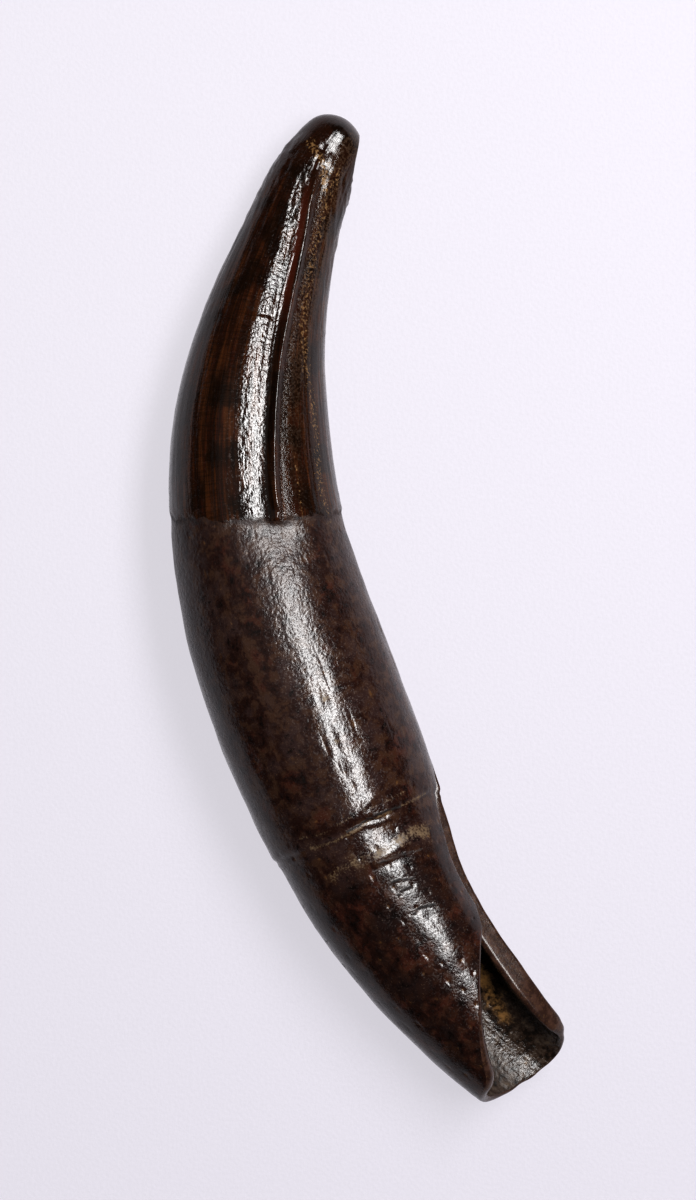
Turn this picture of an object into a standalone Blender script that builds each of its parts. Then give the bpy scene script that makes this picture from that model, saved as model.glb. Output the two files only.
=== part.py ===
"""A fossil crocodile tooth with its root, lying on its side. Blender 4.5, metres, +Z up.

It is one natural piece. The tooth is drawn first by itself, in millimetres: its axis bends in
the XY plane, the tip points along +Y, the hollow of the bend faces +X and +Z is the side that
looks up. It is then rolled and pitched on to the three spots of its underside that carry it.

A place on the tooth is (along, around): millimetres from the tip along the axis, and degrees
about the axis, from the side that looks up (0) to the hollow of the bend (90) and on round.
"""

import math

import bmesh
import bpy
import numpy as np
from mathutils import Matrix, Vector

MM = 0.001

# Landmarks along the axis, in millimetres from the tip
NECK = 18.0  # the enamel of the crown ends here
CAVITY_TOP = 22.0  # the pulp cavity closes
SLIT = 30.9  # the root wall starts to gape, in the hollow of the bend
RING = 32.6  # a growth line, where the root steps in
SWEEP = 37.9  # the slit widens from here until the upper wall is gone

# Which way the axis heads, in degrees from straight down, at places along it
HEADING = (
    (0, -43), (4, -21.9), (8, -16.2), (14, -2.4), (19.5, 10.5), (25, 20.5), (30, 22.6), (34, 25),
    (38, 36.3), (42, 43), (46, 52),
)
# Half the width across the bend, at places along the axis
HALF_WIDTH = (
    (0, 0.73), (1.5, 1.25), (5, 1.92), (10, 2.68), (14, 3.3), (18, 3.66), (24, 4.11), (29, 4.12),
    (33, 3.86), (37, 3.39), (41, 3.03), (46, 2.5),
)
DEPTH_SHARE = 0.9  # the tooth is a little flatter than it is wide
TIP_ROUND = 1.35  # length over which the worn tip closes
# Worn facets of the tip: the angle they face, their slope from the tip and how far out they are
WORN = ((270, 80, 1.12), (345, 62, 1.05))

# The angle of the upper cutting edge of the crown, at places along the axis
KEEL_AROUND = ((0, -10), (2.5, -8), (4, 1), (6.5, 11), (9, 12.5), (12, 10), (17.8, 4.5))
KEELS = (0, 178)  # the two cutting edges, in degrees from the upper one
KEEL_HEIGHT = 0.16
KEEL_HALF = 0.16
FLANK_DEPTH = 0.06  # a shallow groove runs down each side of a keel
FLANK_PLACE = 0.5
ENAMEL = 0.08  # how far the crown stands proud of the root
NECK_SLANT = 0.7  # the neck slants, and is furthest from the tip at this angle
NECK_LOW = 22
RING_STEP = 0.14  # how far the root steps in below the growth line
RING_GROOVE = 0.1
RING_SIDE = 0.35  # rows of the mesh this far from it show its groove
RING_SLANT = 0.95  # the growth line slants, and is nearest to the tip at this angle
RING_HIGH = -15
LUMPS = 0.025  # the root's slow ups and downs

# The broken root: where its wall still stands
FAR_RIM = 79  # the slit's lower edge runs along this angle
# the slit's upper edge, as angles at places along the axis
NEAR_RIM = ((30.9, 79), (32.2, 65), (34.4, 56), (37.9, 58))
# the end of the wall, as places along the axis at angles from FAR_RIM round to NEAR_RIM
WALL_END = (
    (79, 42.2), (87, 44.2), (98, 44.95), (121, 45.5), (144, 45.8), (164, 45.7), (191, 45.35),
    (227, 45), (265, 44.5), (300, 44.2), (310, 44), (322, 43.2), (342, 42.1), (356, 41.4),
    (370, 40.6), (394, 39.3), (410, 38.6), (418, 37.9),
)
# wall thickness at the broken edge, at angles from FAR_RIM round to NEAR_RIM
EDGE_WALL = ((79, 0.66), (95, 0.4), (120, 0.24), (300, 0.24), (360, 0.28), (418, 0.32))
ROOT_WALL = 0.75  # further in
EDGE_THINNING = 4.0  # how far up the root the wall thins towards its end
LIP_ROUND = 0.6  # how far a rim bulges, as a share of a half circle

# How the tooth lies
ROLL = 11.0  # the hollow of the bend is rolled down
PITCH = -5.4  # the tip is pitched down
FLAT = 0.07  # depth of the worn spots it rests on

# Columns of the mesh: from each angle on, so many as far as the next one
COLUMN_STEPS = ((79, 10), (165, 6), (191, 17), (347, 6), (373, 7), (439, 0))
ROW_BEND = 4  # how far from the neck and the growth line the rows still follow them
ROWS_CROWN = 24
ROWS_ROOT = 17
ROWS_RING = 3  # from the slit's upper end to the growth line
ROWS_SLIT = 9
ROWS_END = 11
ROWS_CAVITY = 6
LIP_STEPS = 3


def curve_through(stations):
    """A smooth curve through (place, value) pairs, as a function of the place."""
    places, values = np.array(stations, float).T
    slopes = np.gradient(values, places)

    def value_at(place):
        place = np.clip(place, places[0], places[-1])
        i = np.clip(np.searchsorted(places, place, side="right") - 1, 0, len(places) - 2)
        span = places[i + 1] - places[i]
        t = (place - places[i]) / span
        from_left = (2 * t**3 - 3 * t**2 + 1) * values[i] + (t**3 - 2 * t**2 + t) * span * slopes[i]
        from_right = (3 * t**2 - 2 * t**3) * values[i + 1] + (t**3 - t**2) * span * slopes[i + 1]
        return from_left + from_right

    return value_at


def ramp(value, start, end):
    """0 before start, 1 after end, and smooth between them."""
    t = np.clip((value - start) / (end - start), 0, 1)
    return t * t * (3 - 2 * t)


heading_at = curve_through(HEADING)
half_width_at = curve_through(HALF_WIDTH)
keel_around_at = curve_through(KEEL_AROUND)
near_rim_at = curve_through(NEAR_RIM)
wall_end_at = curve_through(WALL_END)
edge_wall_at = curve_through(EDGE_WALL)

AXIS_STEP = 0.05
AXIS_ALONG = np.arange(0, 48, AXIS_STEP)
AXIS_HEADING = np.radians(heading_at(AXIS_ALONG))
AXIS_X = np.cumsum(np.sin(AXIS_HEADING)) * AXIS_STEP
AXIS_Y = -np.cumsum(np.cos(AXIS_HEADING)) * AXIS_STEP

AROUND = np.concatenate(
    [
        start[0] + (end[0] - start[0]) * np.arange(start[1]) / start[1]
        for start, end in zip(COLUMN_STEPS, COLUMN_STEPS[1:])
    ]
)
COLUMNS = len(AROUND)


def neck_at(around):
    """Where the crown ends."""
    return NECK + NECK_SLANT * np.cos(np.radians(around - NECK_LOW))


def ring_at(around):
    """Where the growth line runs."""
    return RING - RING_SLANT * np.cos(np.radians(around - RING_HIGH))


def place(along, around, radius):
    """The point at that radius from the axis."""
    heading = np.radians(heading_at(along))
    across = radius * np.sin(np.radians(around))
    x = np.interp(along, AXIS_ALONG, AXIS_X) + across * np.cos(heading)
    y = np.interp(along, AXIS_ALONG, AXIS_Y) + across * np.sin(heading)
    return np.stack([x, y, radius * np.cos(np.radians(around))], axis=-1)


def plain_radius(along, around):
    """The tooth's oval section, with no relief."""
    angle = np.radians(around)
    short_of_round = 1 - np.clip(along / TIP_ROUND, 0, 1)
    closing = np.sqrt(1 - short_of_round**2.4)
    oval = np.hypot(np.sin(angle), np.cos(angle) / DEPTH_SHARE)
    return closing * half_width_at(along) / oval


def outer_radius(along, around):
    """The tooth's skin: crown, root and what stands up or dips in them."""
    radius = plain_radius(along, around)
    angle = np.radians(around)
    for facing, slope, reach in WORN:
        toward = np.maximum(np.cos(angle - math.radians(facing)), 0.2)
        slope = math.radians(slope)
        radius = np.minimum(radius, (reach + along * math.cos(slope)) / (math.sin(slope) * toward))
    crown = 1 - ramp(along, neck_at(around) - 0.15, neck_at(around) + 0.15)
    relief = ENAMEL * crown * ramp(along, 0, 1)
    for keel in KEELS:
        away = around - keel_around_at(along) - keel
        away = np.abs((away + 180) % 360 - 180) * np.pi / 180 * radius
        edge = KEEL_HEIGHT * np.exp(-((away / KEEL_HALF) ** 2))
        flank = FLANK_DEPTH * np.exp(-(((away - FLANK_PLACE) / KEEL_HALF) ** 2))
        relief += (edge - flank) * crown * ramp(along, 2, 5)
    past_ring = along - ring_at(around)
    relief -= RING_STEP * ramp(past_ring, -0.1, 0.4)
    relief -= RING_GROOVE * np.exp(-((past_ring / 0.25) ** 2))
    swell = np.sin(1.1 * along + 2 * angle) * np.sin(0.43 * along - angle + 1)
    return radius + relief + LUMPS * swell * ramp(along, NECK - 1, NECK + 2)


def inner_radius(along, around):
    """The wall of the pulp cavity."""
    to_end = ramp(wall_end_at(around) - along, 0, EDGE_THINNING)
    to_slit = ramp(np.minimum(around - FAR_RIM, near_rim_at(along) + 360 - around), 0, 40)
    from_edge = to_end * np.maximum(to_slit, 1 - ramp(along, SLIT, SLIT + 2))
    wall = ROOT_WALL + (edge_wall_at(around) - ROOT_WALL) * (1 - from_edge)
    closing = np.sqrt(np.clip((along - CAVITY_TOP) / (SLIT - CAVITY_TOP), 0, 1))
    return (plain_radius(along, around) - RING_STEP * ramp(along, RING - 2, RING) - wall) * closing


def bent(along, around):
    """A row of the mesh, bent to follow the neck and the growth line where it is near them."""
    near_neck = 1 - ramp(np.abs(along - NECK), 1, ROW_BEND)
    near_ring = 1 - ramp(np.abs(along - RING), 1, ROW_BEND)
    to_neck = neck_at(around) - NECK
    return along + to_neck * near_neck + (ring_at(around) - RING) * near_ring


def grid(radius_at):
    """Points of the open root's wall: the slit's rows, then the rows that run to the wall's end."""
    share = (np.append(AROUND, FAR_RIM + 360) - FAR_RIM) / 360
    to_ring = np.linspace(SLIT, RING - RING_SIDE, ROWS_RING)
    from_ring = np.linspace(RING + RING_SIDE, SWEEP, ROWS_SLIT - ROWS_RING)
    rows = []
    for row in (*to_ring, RING, *from_ring):
        around = FAR_RIM + (near_rim_at(row) + 360 - FAR_RIM) * share
        along = bent(row, around)
        rows.append(place(along, around, radius_at(along, around)))
    for i in range(1, ROWS_END + 1):
        along = SWEEP + (wall_end_at(around) - SWEEP) * i / ROWS_END
        rows.append(place(along, around, radius_at(along, around)))
    return rows


def closed_rows(radius_at, places):
    """Points of the closed rings at those places along the axis, turned with the keels."""
    rows = []
    for row in places:
        around = AROUND + keel_around_at(row) * (1 - ramp(row, NECK, SLIT))
        along = bent(row, around)
        rows.append(place(along, around, radius_at(along, around)))
    return rows


def rim_loop(rows):
    """The edge of a wall's grid: down the far rim, round the end and back up the near rim."""
    down = [(i, 0) for i in range(len(rows) - 1)]
    across = [(len(rows) - 1, j) for j in range(COLUMNS)]
    back = [(i, COLUMNS) for i in range(ROWS_SLIT, 0, -1)]
    return down + across + back


def lip_points(outer, inner, inside):
    """Rows of points that round the broken edge from the outer wall's edge to the inner one's."""
    middle = (outer + inner) / 2
    half = (outer - inner) / 2
    run = np.roll(middle, -1, axis=0) - np.roll(middle, 1, axis=0)
    away = np.cross(run, half)
    away /= np.linalg.norm(away, axis=1, keepdims=True) + 1e-9
    away *= np.sign(np.sum(away * (middle - inside), axis=1, keepdims=True))
    from_slit = np.linalg.norm(middle - middle[0], axis=1, keepdims=True)
    bulge = LIP_ROUND * np.linalg.norm(half, axis=1, keepdims=True) * ramp(from_slit, 0.2, 3)
    turns = np.pi * np.arange(1, LIP_STEPS) / LIP_STEPS
    return [middle + half * math.cos(t) + away * bulge * math.sin(t) for t in turns]


def skin(bm, one, two, closed):
    """Faces between two rows of vertices of the same length."""
    count = len(one) if closed else len(one) - 1
    for i in range(count):
        k = (i + 1) % len(one)
        corners = list(dict.fromkeys((one[i], one[k], two[k], two[i])))
        if len(corners) > 2:
            bm.faces.new(corners)


def tube(bm, rows, end):
    """A tube through closed rows of points, closed at its first row by a fan to the end point."""
    rings = [[bm.verts.new(p) for p in row] for row in rows]
    top = bm.verts.new(end)
    for i, vert in enumerate(rings[0]):
        bm.faces.new((vert, rings[0][(i + 1) % COLUMNS], top))
    for one, two in zip(rings, rings[1:]):
        skin(bm, one, two, closed=True)
    return rings[-1]


def wall(bm, rows, last_ring):
    """The open wall below a tube. Its first row is the tube's last ring, and below the sweep its
    last column is the single point where the slit's upper edge turns away."""
    verts = [last_ring + last_ring[:1]]
    for i, row in enumerate(rows[1:], 1):
        made = [bm.verts.new(p) for p in row[:COLUMNS]]
        made.append(bm.verts.new(row[COLUMNS]) if i <= ROWS_SLIT else verts[ROWS_SLIT][COLUMNS])
        verts.append(made)
    for one, two in zip(verts, verts[1:]):
        skin(bm, one, two, closed=False)
    return verts


def outer_places():
    """Rows from the tip to the slit, with a step at the neck."""
    tip = [TIP_ROUND * (1 - math.cos(t * math.pi / 8)) for t in (1, 2, 3)]
    crown = np.linspace(TIP_ROUND, NECK - 0.15, ROWS_CROWN)
    root = np.linspace(NECK + 0.2, SLIT, ROWS_ROOT)
    return [*tip, *crown, *root]


def tooth_mesh():
    bm = bmesh.new()
    cavity_places = np.linspace(CAVITY_TOP + 0.3, SLIT, ROWS_CAVITY)
    outside = tube(bm, closed_rows(outer_radius, outer_places()), place(0.0, 0.0, 0.0))
    inside = tube(bm, closed_rows(inner_radius, cavity_places), place(CAVITY_TOP, 0.0, 0.0))
    outer_rows, inner_rows = grid(outer_radius), grid(inner_radius)
    outer_verts, inner_verts = wall(bm, outer_rows, outside), wall(bm, inner_rows, inside)

    loop = rim_loop(outer_rows)
    last = len(outer_rows) - 1
    outer_edge = np.array([outer_rows[i][j] for i, j in loop])
    inner_edge = np.array([inner_rows[i][j] for i, j in loop])
    next_in = np.array([outer_rows[min(i, last - 1)][min(max(j, 1), COLUMNS - 1)] for i, j in loop])
    strips = [[outer_verts[i][j] for i, j in loop]]
    for row in lip_points(outer_edge, inner_edge, next_in):
        strips.append([bm.verts.new(p) for p in row])
    strips.append([inner_verts[i][j] for i, j in loop])
    for one, two in zip(strips, strips[1:]):
        skin(bm, one, two, closed=True)
    return bm


def lay_down(bm):
    """Rolls the tooth on to its resting spots, stands it on the floor and wears the spots flat."""
    roll = Matrix.Rotation(math.radians(ROLL), 4, "Y")
    pitch = Matrix.Rotation(math.radians(PITCH), 4, "X")
    bmesh.ops.transform(bm, matrix=pitch @ roll, verts=bm.verts)
    corners = np.array([v.co for v in bm.verts])
    low, high = corners.min(axis=0), corners.max(axis=0)
    shift = Vector((-(low[0] + high[0]) / 2, -(low[1] + high[1]) / 2, -low[2] - FLAT))
    bmesh.ops.translate(bm, vec=shift, verts=bm.verts)
    everything = bm.verts[:] + bm.edges[:] + bm.faces[:]
    cut = bmesh.ops.bisect_plane(
        bm, geom=everything, dist=1e-5, plane_co=(0, 0, 0), plane_no=(0, 0, -1), clear_outer=True
    )
    spots = [e for e in cut["geom_cut"] if isinstance(e, bmesh.types.BMEdge)]
    bmesh.ops.holes_fill(bm, edges=spots)


def fossil_material():
    material = bpy.data.materials.new("fossil tooth")
    material.use_nodes = True
    shader = material.node_tree.nodes["Principled BSDF"]
    shader.inputs["Base Color"].default_value = (0.022, 0.010, 0.006, 1)
    shader.inputs["Roughness"].default_value = 0.28
    shader.inputs["Metallic"].default_value = 0.0
    return material


def build():
    for old in list(bpy.data.objects):
        bpy.data.objects.remove(old)
    bm = tooth_mesh()
    lay_down(bm)
    bmesh.ops.recalc_face_normals(bm, faces=bm.faces)
    bmesh.ops.scale(bm, vec=(MM, MM, MM), verts=bm.verts)
    mesh = bpy.data.meshes.new("tooth")
    bm.to_mesh(mesh)
    bm.free()
    mesh.shade_smooth()
    mesh.set_sharp_from_angle(angle=math.radians(50))
    tooth = bpy.data.objects.new("tooth", mesh)
    tooth.data.materials.append(fossil_material())
    bpy.context.scene.collection.objects.link(tooth)
    return tooth


build()
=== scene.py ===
# A fossil crocodile tooth with its broken, hollow root, lying on a pale sheet.
import math

import bmesh
import bpy
import numpy as np
from mathutils import Matrix, Vector


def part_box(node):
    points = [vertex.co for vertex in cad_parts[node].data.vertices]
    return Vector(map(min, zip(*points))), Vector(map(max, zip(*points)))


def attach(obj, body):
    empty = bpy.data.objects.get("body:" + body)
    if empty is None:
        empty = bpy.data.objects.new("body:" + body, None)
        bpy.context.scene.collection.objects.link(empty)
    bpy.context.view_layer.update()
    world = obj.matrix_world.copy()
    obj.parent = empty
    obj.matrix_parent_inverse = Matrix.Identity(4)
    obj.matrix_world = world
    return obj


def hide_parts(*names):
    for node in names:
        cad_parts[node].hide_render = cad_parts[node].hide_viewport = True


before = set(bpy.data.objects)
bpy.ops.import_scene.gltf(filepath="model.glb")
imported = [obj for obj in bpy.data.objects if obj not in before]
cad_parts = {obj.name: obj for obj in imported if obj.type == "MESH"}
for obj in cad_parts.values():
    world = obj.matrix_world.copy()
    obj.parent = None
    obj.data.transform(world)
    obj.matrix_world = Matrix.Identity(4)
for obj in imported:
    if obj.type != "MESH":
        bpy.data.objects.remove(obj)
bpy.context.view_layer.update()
toothLow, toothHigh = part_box("tooth")
millimetre = 0.001
print("frame loaded")

# A place on the tooth is (along, around): millimetres from the tip along the bent axis, and
# degrees about it, from the side that looks up (0) to the hollow of the bend (90) and on round.
tooth = {
    "heading": (  # which way the axis heads, in degrees from straight down
        (0, -43), (4, -21.9), (8, -16.2), (14, -2.4), (19.5, 10.5), (25, 20.5), (30, 22.6),
        (34, 25), (38, 36.3), (42, 43), (46, 52),
    ),
    "axisLength": 48, "axisStep": 0.05,
    "halfWidth": (
        (0, 1.12), (1.5, 1.5), (3, 1.75), (5, 1.94), (10, 2.68), (14, 3.3), (18, 3.66), (24, 4.11),
        (29, 4.12), (33, 3.86), (37, 3.39), (41, 3.03), (46, 2.5),
    ),
    "depthShare": 0.9,
    "tipRound": 1.0,
    "worn": (90, 68, 0.48),  # a facet of the tip: the angle it faces, its slope and its reach
    # a flat rubbed on the top of the tip, which fades at both ends
    "rubbed": {"around": -6, "from": 0.5, "to": 1.6, "fade": 0.25, "depth": 0.02},
    # how it lies, in degrees, and how deep its resting spots are worn
    "roll": 11.0, "pitch": -5.4, "flatDepth": 0.07,
    # where the crown ends, how its edge slants and frays, how thick the enamel is and where its
    # edge thins out, and how dark the root is beside it
    "neck": 18.0, "neckSlant": 0.7, "neckLow": 22, "fray": 0.055,
    "enamel": 0.06, "enamelEdge": (-0.16, 0.2), "neckShade": 0.45,
    "keelAround": ((0, -10), (2.5, -8), (4, 1), (6.5, 11), (9, 12.5), (12, 10), (17.8, 4.5)),
    "keels": (0, 178), "keelStart": (2, 5), "keelHeight": 0.18, "keelBack": 0.32, "keelFront": 0.2,
    # left of the upper keel the skin is a flat that falls from a shoulder to the keel's foot: how
    # deep and how wide along the crown, as shares of the radius, and where it fades out on the root
    "flatFall": ((1.5, 0.054), (9, 0.056), (14, 0.074), (26, 0.074)),
    "flatWidth": ((1.5, 0.5), (9, 0.51), (14, 0.66), (26, 0.66)),
    "flatStart": (1.5, 4), "flatEnd": (18.3, 22), "keelFoot": 0.26,
    # a growth line, where the root steps in, with a groove along it
    "ring": 32.3, "ringSlant": 0.2, "ringHigh": 10, "ringStep": 0.14, "ringRun": (-0.1, 0.4),
    "ringGroove": 0.1, "grooveHalf": 0.14,
    "lumps": 0.025, "seed": 4,
    # the broken root: its cavity, the slit it opens in, and its edge at angles about the axis
    "cavityTop": 22.0, "slit": 30.9, "sweep": 37.9, "farRim": 79,
    "nearRim": ((30.9, 79), (32.2, 65), (34.4, 56), (37.9, 58)),
    "wallEnd": (
        (79, 42.2), (83, 43.4), (89, 44.4), (98, 45.05), (104, 45.3), (110, 45.5), (121, 45.75),
        (130, 45.9), (144, 45.97), (153, 45.95), (165, 45.85), (179, 45.75), (195, 45.5),
        (208, 45.38), (223, 45.15), (245, 44.8), (265, 44.45), (285, 44.2), (300, 44.05),
        (310, 43.8), (322, 43.15), (342, 42.1), (356, 41.4), (370, 40.6), (394, 39.3),
        (410, 38.6), (418, 37.9),
    ),
    "edgeWall": (
        (79, 0.95), (90, 0.8), (105, 0.45), (120, 0.28), (200, 0.26), (240, 0.32), (270, 0.48),
        (300, 0.62), (325, 0.64), (345, 0.55), (365, 0.42), (418, 0.32),
    ),
    "rootWall": 0.75, "edgeThinning": 4.0, "lipRound": 0.6, "farBevel": 0.7,
    # the mesh: columns from each angle on, and the gap between rows at places along the axis
    "columns": ((79, 54), (165, 24), (191, 98), (347, 34), (373, 50), (439, 0)),
    "rowGap": (
        (1.3, 0.12), (3, 0.18), (9.3, 0.2), (9.65, 0.08), (9.85, 0.08), (10.2, 0.2), (17, 0.21),
        (17.75, 0.06), (18.25, 0.06), (19.2, 0.2), (30.9, 0.22), (32.1, 0.1), (32.4, 0.06),
        (33.0, 0.08), (34.6, 0.1), (36.7, 0.1), (37.9, 0.22),
    ),
    "tipRows": 12, "endRows": 34, "cavityRows": 20, "lipRows": 5, "rowBend": 4,
}


def curveThrough(stations):  # a smooth curve through (place, value) pairs
    places, values = np.array(stations, float).T
    slopes = np.gradient(values, places)

    def valueAt(place):
        place = np.clip(place, places[0], places[-1])
        i = np.clip(np.searchsorted(places, place, side="right") - 1, 0, len(places) - 2)
        span = places[i + 1] - places[i]
        t = (place - places[i]) / span
        fromLeft = (2 * t**3 - 3 * t**2 + 1) * values[i] + (t**3 - 2 * t**2 + t) * span * slopes[i]
        fromRight = (3 * t**2 - 2 * t**3) * values[i + 1] + (t**3 - t**2) * span * slopes[i + 1]
        return fromLeft + fromRight

    return valueAt


def ramp(value, start, end):  # 0 before start, 1 after end, smooth between them
    t = np.clip((value - start) / (end - start), 0, 1)
    return t * t * (3 - 2 * t)


def bell(value, half):  # 1 at nought, fading to both sides, and about a third at half
    return np.exp(-((value / half) ** 2))


headingAt = curveThrough(tooth["heading"])
halfWidthAt = curveThrough(tooth["halfWidth"])
keelAroundAt = curveThrough(tooth["keelAround"])
nearRimAt = curveThrough(tooth["nearRim"])
wallEndAt = curveThrough(tooth["wallEnd"])
edgeWallAt = curveThrough(tooth["edgeWall"])
flatFallAt = curveThrough(tooth["flatFall"])
flatWidthAt = curveThrough(tooth["flatWidth"])


def turned(around, towards):  # the signed turn from one angle to the other, -180 to 180
    return (around - towards + 180) % 360 - 180


def neckAt(around):  # the enamel ends in a torn edge
    angle = np.radians(around)
    fray = np.sin(9 * angle + 1) + 0.8 * np.sin(17 * angle) + 0.7 * np.sin(33 * angle + 2)
    slant = tooth["neckSlant"] * np.cos(np.radians(around - tooth["neckLow"]))
    return tooth["neck"] + slant + tooth["fray"] * fray


def ringAt(around):  # the growth line wavers
    angle = np.radians(around)
    waver = 0.05 * np.sin(5 * angle + 0.6) + 0.04 * np.sin(11 * angle)
    slant = tooth["ringSlant"] * np.cos(np.radians(around - tooth["ringHigh"]))
    return tooth["ring"] - slant + waver


# What the years left on the skin: its place, its reach along and across, and its height, in
# millimetres. A slanting one runs as many millimetres further from the tip for each one across.
marks = {
    "boss": {"at": (0.8, -6), "reach": (0.5, 0.5), "height": 0.13},
    "bossRim": {"at": (1.95, -14), "reach": (0.22, 0.45), "height": -0.06},
    "chipLeft": {"at": (2.3, -40), "reach": (0.45, 0.3), "height": -0.06},
    "chipTop": {"at": (2.7, -4), "reach": (0.7, 0.35), "height": -0.06},
    "chipShoulder": {"at": (1.75, -70), "reach": (0.25, 0.5), "height": -0.06},
    "crownBead": {"at": (9.3, -8), "reach": (0.28, 0.4), "height": 0.03},
    "crownLine": {"at": (9.75, -6), "reach": (0.1, 0.75), "height": -0.035},
    "pitHigh": {"at": (26.65, 0), "reach": (0.22, 0.18), "height": -0.08},
    "pitMiddle": {"at": (28.41, -3.5), "reach": (0.25, 0.15), "height": -0.07},
    "pitLow": {"at": (29.5, -4.5), "reach": (0.24, 0.2), "height": -0.06},
    "ledge": {"at": (31.35, 3), "reach": (0.12, 0.6), "height": 0.05, "slant": -0.3},
    "tanBand": {"at": (33.7, 5), "reach": (0.22, 2.2), "height": 0.06},
    "bandFoot": {"at": (34.15, 5), "reach": (0.16, 2.2), "height": -0.03},
    "crackOne": {"at": (35.0, 0), "reach": (0.08, 0.6), "height": -0.015, "slant": 0.1},
    "crackTwo": {"at": (35.45, 1), "reach": (0.08, 0.3), "height": -0.02},
    "crackThree": {"at": (36.52, 7), "reach": (0.1, 0.6), "height": -0.03, "slant": 0.1},
    "crackPatch": {"at": (36.85, 10), "reach": (0.25, 0.2), "height": -0.04},
    "crest": {"at": (38.5, 30), "reach": (4.5, 1.5), "height": 0.2},
    "nick": {"at": (45.2, 110), "reach": (0.5, 0.25), "height": -0.12},
}


def markRelief(along, around, radius):
    relief = np.zeros_like(along + around + radius)
    for mark in marks.values():
        across = np.radians(turned(around, mark["at"][1])) * radius
        down = along - mark["at"][0] - mark.get("slant", 0) * across
        relief += mark["height"] * bell(down, mark["reach"][0]) * bell(across, mark["reach"][1])
    return relief


def plainRadius(along, around):
    angle = np.radians(around)
    shortOfRound = 1 - np.clip(along / tooth["tipRound"], 0, 1)
    oval = np.hypot(np.sin(angle), np.cos(angle) / tooth["depthShare"])
    return np.sqrt(1 - shortOfRound**2.4) * halfWidthAt(along) / oval


def keelRelief(along, around, radius):
    relief = 0
    for keel in tooth["keels"]:
        across = np.radians(turned(around, keelAroundAt(along) + keel)) * radius
        half = np.where(across < 0, tooth["keelBack"], tooth["keelFront"])
        relief = relief + tooth["keelHeight"] * bell(across, half)
    return relief


def flatRelief(along, around, radius):
    across = np.radians(turned(around, keelAroundAt(along))) * radius
    width, foot = flatWidthAt(along) * radius, tooth["keelFoot"]
    # it ends at the keel on the crown, and past where the keel would be on the root
    beyond = 0.05 + 2 * ramp(along, tooth["neck"] - 0.3, tooth["neck"] + 2)
    fall = np.clip((across + width) / (width - foot), 0, 1)
    fall *= 1 - ramp(across, -0.8 * foot, beyond)
    within = ramp(along, *tooth["flatStart"]) * (1 - ramp(along, *tooth["flatEnd"]))
    return -flatFallAt(along) * radius * fall * within


def rubbedRelief(along, around, radius):
    rubbed = tooth["rubbed"]
    across = np.radians(turned(around, rubbed["around"])) * radius
    within = ramp(along, rubbed["from"], rubbed["from"] + rubbed["fade"])
    within *= 1 - ramp(along, rubbed["to"] - rubbed["fade"], rubbed["to"])
    drop = across**2 / (2.3 * radius)  # how far the oval falls away to each side
    return np.minimum(drop - rubbed["depth"], 0) * within


def outerRadius(along, around):
    radius = plainRadius(along, around)
    angle = np.radians(around)
    facing, slope, reach = tooth["worn"]
    toward = np.maximum(np.cos(angle - math.radians(facing)), 0.2)
    slope = math.radians(slope)
    radius = np.minimum(radius, (reach + along * math.cos(slope)) / (math.sin(slope) * toward))
    thinsFrom, endsAt = tooth["enamelEdge"]
    crown = 1 - ramp(along, neckAt(around) + thinsFrom, neckAt(around) + endsAt)
    relief = tooth["enamel"] * crown * ramp(along, 0, 1)
    relief += keelRelief(along, around, radius) * crown * ramp(along, *tooth["keelStart"])
    relief += flatRelief(along, around, radius) + rubbedRelief(along, around, radius)
    pastRing = along - ringAt(around)
    relief -= tooth["ringStep"] * ramp(pastRing, *tooth["ringRun"])
    relief -= tooth["ringGroove"] * bell(pastRing, tooth["grooveHalf"])
    swell = np.sin(1.1 * along + 2 * angle) * np.sin(0.43 * along - angle + 1)
    relief += tooth["lumps"] * swell * ramp(along, tooth["neck"] - 1, tooth["neck"] + 2)
    return radius + relief + markRelief(along, around, radius)


def innerRadius(along, around):  # the wall of the pulp cavity, thinner towards the broken edge
    toEnd = ramp(wallEndAt(around) - along, 0, tooth["edgeThinning"])
    toSlit = ramp(np.minimum(around - tooth["farRim"], nearRimAt(along) + 360 - around), 0, 40)
    fromEdge = toEnd * np.maximum(toSlit, 1 - ramp(along, tooth["slit"], tooth["slit"] + 2))
    wall = tooth["rootWall"] + (edgeWallAt(around) - tooth["rootWall"]) * (1 - fromEdge)
    opening = (along - tooth["cavityTop"]) / (tooth["slit"] - tooth["cavityTop"])
    step = tooth["ringStep"] * ramp(along, tooth["ring"] - 2, tooth["ring"])
    return (plainRadius(along, around) - step - wall) * np.sqrt(np.clip(opening, 0, 1))


def bentRow(row, around):  # a row of the mesh follows the neck and the ring where it is near them
    nearNeck = 1 - ramp(np.abs(row - tooth["neck"]), 1, tooth["rowBend"])
    nearRing = 1 - ramp(np.abs(row - tooth["ring"]), 1, tooth["rowBend"])
    toNeck = (neckAt(around) - tooth["neck"]) * nearNeck
    return row + toNeck + (ringAt(around) - tooth["ring"]) * nearRing


def rowPlaces():  # rows from the tip to the sweep, close together where the skin has detail
    gapAt = curveThrough(tooth["rowGap"])
    turns = np.arange(1, tooth["tipRows"]) * math.pi / 2 / tooth["tipRows"]
    places = list(tooth["tipRound"] * (1 - np.cos(turns))) + [tooth["tipRound"]]
    for stop in (tooth["neck"], tooth["slit"], tooth["ring"], tooth["sweep"]):
        start = places[-1]
        run = [start]
        while run[-1] < stop:
            run.append(run[-1] + float(gapAt(run[-1])))
        stretch = (stop - start) / (run[-1] - start)
        places += [start + (place - start) * stretch for place in run[1:]]
    return np.array(places)


columnAngles = np.concatenate([
    one[0] + (two[0] - one[0]) * np.arange(one[1]) / one[1]
    for one, two in zip(tooth["columns"], tooth["columns"][1:])
])
columnCount = len(columnAngles)
roundAngles = np.append(columnAngles, tooth["farRim"] + 360)  # and back to the first


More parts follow.
